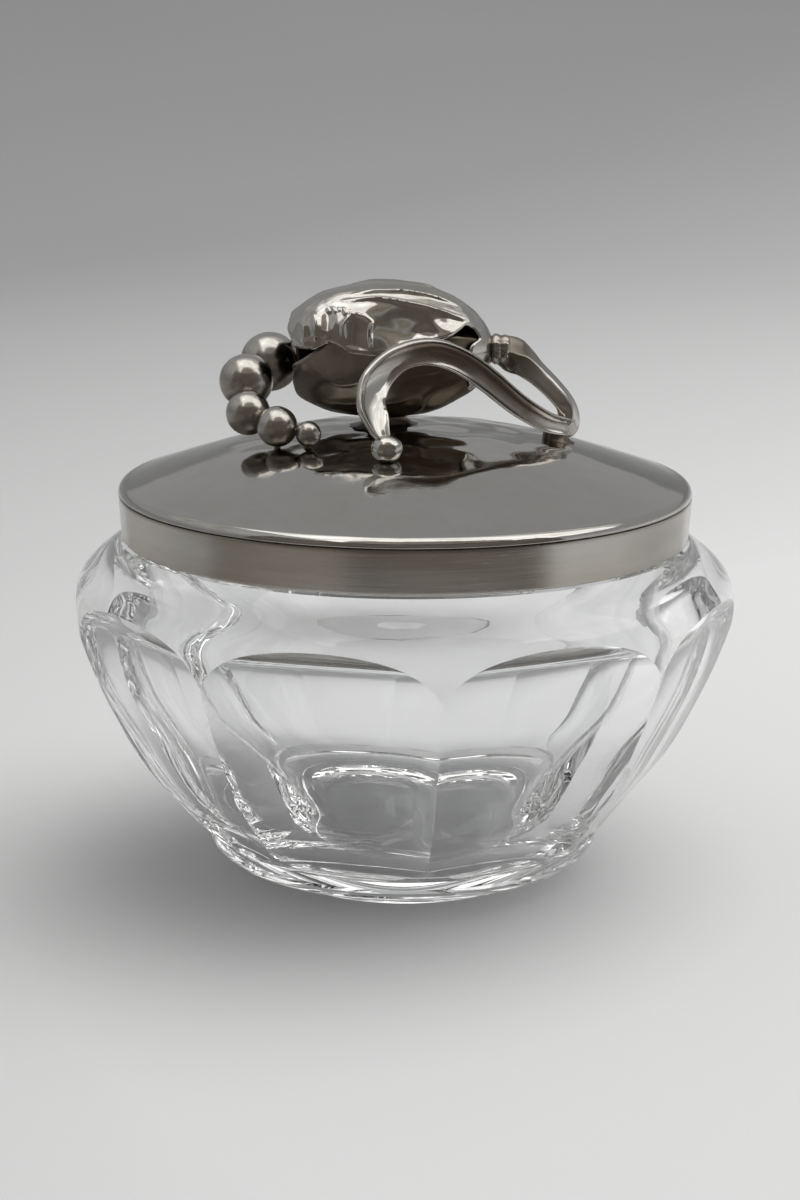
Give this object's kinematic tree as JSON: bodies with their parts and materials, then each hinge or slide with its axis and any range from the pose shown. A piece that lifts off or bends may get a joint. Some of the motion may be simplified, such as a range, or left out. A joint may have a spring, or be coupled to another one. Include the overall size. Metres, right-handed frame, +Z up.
{
  "type": "covered sugar bowl",
  "caption": "Round cut-glass sugar bowl with flat panels and a lift-off domed silver lid, its finial a bud with beads and a curling tendril.",
  "frame": {"origin": "centre of the foot, on the surface that the bowl stands on", "axes": "+Z up along the bowl's axis; -Y towards the front, where the tendril stands in front of the bud; +X to the right, towards the stem"},
  "size_m": [0.1078, 0.1078, 0.0975],
  "materials": {
    "clear_glass": "clear colourless crystal, cut panels polished bright",
    "silver_polished": "polished silver, faintly hammered, with fine scratches",
    "silver_band": "silver band with a soft satin polish along its length",
    "silver_patina": "silver darkened by oxide in its recesses"
  },
  "bodies": {
    "bowl": {"glass_bowl": "clear_glass"},
    "lid": {"lid_dome": "silver_polished", "lid_band": "silver_band", "bud_upper_petal": "silver_polished", "bud_lower_petal": "silver_patina", "bud_calyx": "silver_polished", "bud_post": "silver_patina", "bead_1": "silver_polished", "bead_2": "silver_polished", "bead_3": "silver_polished", "bead_4": "silver_polished", "bead_5": "silver_polished", "bead_post": "silver_patina", "stem_collar": "silver_patina", "stem_loop": "silver_polished", "loop_pad": "silver_patina", "tendril_arch": "silver_polished", "tendril_knob": "silver_polished"}
  },
  "joints": [
    {"name": "lid_lift", "type": "slide", "parent": "bowl", "child": "lid", "axis": [0, 0, 1], "range_m": [0, 0.06]}
  ]
}
